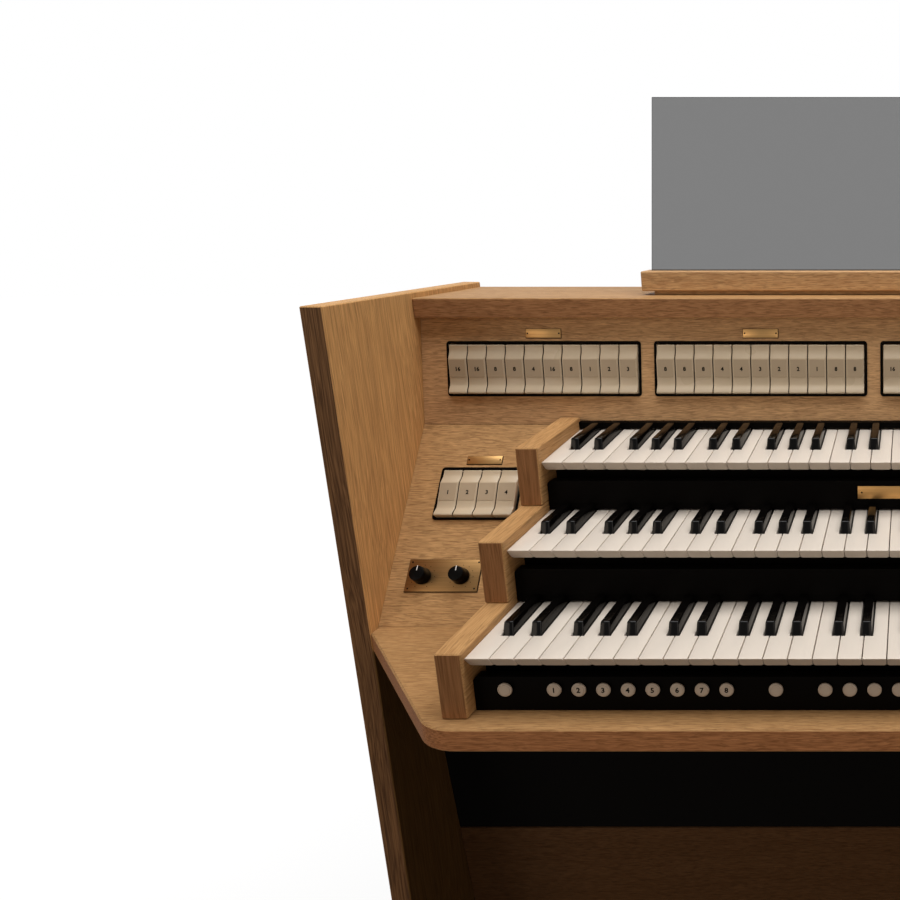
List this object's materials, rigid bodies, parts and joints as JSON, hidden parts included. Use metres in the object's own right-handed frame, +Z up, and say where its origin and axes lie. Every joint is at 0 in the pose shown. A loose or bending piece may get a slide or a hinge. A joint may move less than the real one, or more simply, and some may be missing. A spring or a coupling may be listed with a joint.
{
  "type": "electronic organ",
  "caption": "Oak electronic church organ console with stacked manuals, leaning rows of rocker stop tabs, thumb pistons, a music desk, swell shoes and a pedalboard.",
  "frame": {"origin": "centre of the bounding box at the floor", "axes": "+Z up, +Y to the back of the console, +X to the player's right"},
  "size_m": [1.3, 0.912, 1.4029],
  "materials": {
    "oak": "satin lacquered oak",
    "ivory": "warm white moulded plastic",
    "ebony": "glossy black",
    "black_lacquer": "satin black",
    "brass": "brushed and lacquered",
    "speaker_cloth": "board faced with black woven cloth",
    "smoked_acrylic": "smoked clear sheet",
    "plated_steel": "zinc plated sheet",
    "circuit_board": "green laminate"
  },
  "bodies": {
    "console": {"side_panel_left": "oak", "side_panel_right": "oak", "top_panel": "oak", "back_panel": "oak", "keydesk_board": "oak", "stop_fascia": "oak", "jamb_panel_left": "oak", "jamb_panel_right": "oak", "knob_plate_left": "brass", "knob_plate_right": "brass", "name_plate": "brass", "lower_cheek_left": "oak", "lower_cheek_right": "oak", "middle_cheek_left": "oak", "middle_cheek_right": "oak", "upper_cheek_left": "oak", "upper_cheek_right": "oak", "lower_keyslip": "black_lacquer", "middle_keyslip": "black_lacquer", "upper_keyslip": "black_lacquer", "rear_key_rail": "black_lacquer", "lower_key_tray": "plated_steel", "middle_key_tray": "plated_steel", "upper_key_tray": "plated_steel", "ledge_spacer": "oak", "music_ledge": "oak", "music_pane": "smoked_acrylic", "kneeboard": "oak", "speaker_baffle": "speaker_cloth", "speaker_left": "plated_steel", "speaker_right": "plated_steel", "swell_housing": "black_lacquer", "swell_shaft": "plated_steel", "pedal_frame": "oak", "power_amplifier": "plated_steel", "sound_board": "circuit_board", "mains_inlet": "black_lacquer"},
    "lower_naturals": {"lower_naturals": "ivory"},
    "lower_sharps": {"lower_sharps": "ebony"},
    "middle_naturals": {"middle_naturals": "ivory"},
    "middle_sharps": {"middle_sharps": "ebony"},
    "upper_naturals": {"upper_naturals": "ivory"},
    "upper_sharps": {"upper_sharps": "ebony"},
    "thumb_pistons": {"thumb_pistons": "ivory"},
    "toe_pistons_left": {"toe_pistons_left": "brass"},
    "toe_pistons_right": {"toe_pistons_right": "brass"},
    "fascia_tabs_1": {"fascia_tabs_1": "ivory"},
    "fascia_tabs_2": {"fascia_tabs_2": "ivory"},
    "fascia_tabs_3": {"fascia_tabs_3": "ivory"},
    "fascia_tabs_4": {"fascia_tabs_4": "ivory"},
    "jamb_tabs_left": {"jamb_tabs_left": "ivory"},
    "knob_left_outer": {"knob_left_outer": "black_lacquer"},
    "knob_left_inner": {"knob_left_inner": "black_lacquer"},
    "swell_shoe_left": {"swell_shoe_left": "black_lacquer"},
    "jamb_tabs_right": {"jamb_tabs_right": "ivory"},
    "knob_right_outer": {"knob_right_outer": "black_lacquer"},
    "knob_right_inner": {"knob_right_inner": "black_lacquer"},
    "swell_shoe_right": {"swell_shoe_right": "black_lacquer"},
    "pedal_naturals": {"pedal_naturals": "oak"},
    "pedal_sharps": {"pedal_sharps": "ebony"}
  },
  "joints": [
    {"name": "lower_naturals_dip", "type": "hinge", "parent": "console", "child": "lower_naturals", "pos_m": [0, 0.16487, 0.84207], "axis": [1, 0, 0], "range_deg": [0, 2], "stiffness_Nm_per_rad": 14, "springref_deg": -28.65},
    {"name": "lower_sharps_dip", "type": "hinge", "parent": "console", "child": "lower_sharps", "pos_m": [0, 0.16487, 0.84207], "axis": [1, 0, 0], "range_deg": [0, 2], "stiffness_Nm_per_rad": 6, "springref_deg": -28.65},
    {"name": "middle_naturals_dip", "type": "hinge", "parent": "console", "child": "middle_naturals", "pos_m": [0, 0.27748, 0.91284], "axis": [1, 0, 0], "range_deg": [0, 2], "stiffness_Nm_per_rad": 14, "springref_deg": -28.65},
    {"name": "middle_sharps_dip", "type": "hinge", "parent": "console", "child": "middle_sharps", "pos_m": [0, 0.27748, 0.91284], "axis": [1, 0, 0], "range_deg": [0, 2], "stiffness_Nm_per_rad": 6, "springref_deg": -28.65},
    {"name": "upper_naturals_dip", "type": "hinge", "parent": "console", "child": "upper_naturals", "pos_m": [0, 0.38787, 0.98592], "axis": [1, 0, 0], "range_deg": [0, 2], "stiffness_Nm_per_rad": 14, "springref_deg": -28.65},
    {"name": "upper_sharps_dip", "type": "hinge", "parent": "console", "child": "upper_sharps", "pos_m": [0, 0.38787, 0.98592], "axis": [1, 0, 0], "range_deg": [0, 2], "stiffness_Nm_per_rad": 6, "springref_deg": -28.65},
    {"name": "thumb_pistons_press", "type": "slide", "parent": "console", "child": "thumb_pistons", "axis": [0, 1, 0], "range_m": [0, 0.002], "stiffness_N_per_m": 2000, "springref_m": -0.004},
    {"name": "toe_pistons_left_press", "type": "slide", "parent": "console", "child": "toe_pistons_left", "axis": [0, 0.9945, 0.1045], "range_m": [0, 0.006], "stiffness_N_per_m": 3000, "springref_m": -0.008},
    {"name": "toe_pistons_right_press", "type": "slide", "parent": "console", "child": "toe_pistons_right", "axis": [0, 0.9945, 0.1045], "range_m": [0, 0.006], "stiffness_N_per_m": 3000, "springref_m": -0.008},
    {"name": "fascia_tabs_1_tilt", "type": "hinge", "parent": "console", "child": "fascia_tabs_1", "pos_m": [0, 0.27439, 1.06096], "axis": [1, 0, 0], "range_deg": [0, 6]},
    {"name": "fascia_tabs_2_tilt", "type": "hinge", "parent": "console", "child": "fascia_tabs_2", "pos_m": [0, 0.27439, 1.06096], "axis": [1, 0, 0], "range_deg": [0, 6]},
    {"name": "fascia_tabs_3_tilt", "type": "hinge", "parent": "console", "child": "fascia_tabs_3", "pos_m": [0, 0.27439, 1.06096], "axis": [1, 0, 0], "range_deg": [0, 6]},
    {"name": "fascia_tabs_4_tilt", "type": "hinge", "parent": "console", "child": "fascia_tabs_4", "pos_m": [0, 0.27439, 1.06096], "axis": [1, 0, 0], "range_deg": [0, 6]},
    {"name": "jamb_tabs_left_tilt", "type": "hinge", "parent": "console", "child": "jamb_tabs_left", "pos_m": [0, 0.20392, 0.91231], "axis": [1, 0, 0], "range_deg": [0, 6]},
    {"name": "knob_left_outer_turn", "type": "hinge", "parent": "console", "child": "knob_left_outer", "pos_m": [-0.5846, 0.13348, 0.83201], "axis": [0, -0.7962, 0.605], "range_deg": [-150, 150]},
    {"name": "knob_left_inner_turn", "type": "hinge", "parent": "console", "child": "knob_left_inner", "pos_m": [-0.5386, 0.13348, 0.83201], "axis": [0, -0.7962, 0.605], "range_deg": [-150, 150]},
    {"name": "swell_shoe_left_tilt", "type": "hinge", "parent": "console", "child": "swell_shoe_left", "pos_m": [0, 0.245, 0.196], "axis": [1, 0, 0], "range_deg": [-20, 0]},
    {"name": "jamb_tabs_right_tilt", "type": "hinge", "parent": "console", "child": "jamb_tabs_right", "pos_m": [0, 0.20392, 0.91231], "axis": [1, 0, 0], "range_deg": [0, 6]},
    {"name": "knob_right_outer_turn", "type": "hinge", "parent": "console", "child": "knob_right_outer", "pos_m": [0.5846, 0.13348, 0.83201], "axis": [0, -0.7962, 0.605], "range_deg": [-150, 150]},
    {"name": "knob_right_inner_turn", "type": "hinge", "parent": "console", "child": "knob_right_inner", "pos_m": [0.5386, 0.13348, 0.83201], "axis": [0, -0.7962, 0.605], "range_deg": [-150, 150]},
    {"name": "swell_shoe_right_tilt", "type": "hinge", "parent": "console", "child": "swell_shoe_right", "pos_m": [0, 0.245, 0.196], "axis": [1, 0, 0], "range_deg": [-20, 0]},
    {"name": "pedal_naturals_dip", "type": "hinge", "parent": "console", "child": "pedal_naturals", "pos_m": [0, -0.43, 0.06], "axis": [-1, 0, 0], "range_deg": [0, 1.2], "stiffness_Nm_per_rad": 140, "springref_deg": -28.65},
    {"name": "pedal_sharps_dip", "type": "hinge", "parent": "console", "child": "pedal_sharps", "pos_m": [0, -0.43, 0.06], "axis": [-1, 0, 0], "range_deg": [0, 1.2], "stiffness_Nm_per_rad": 100, "springref_deg": -28.65}
  ]
}
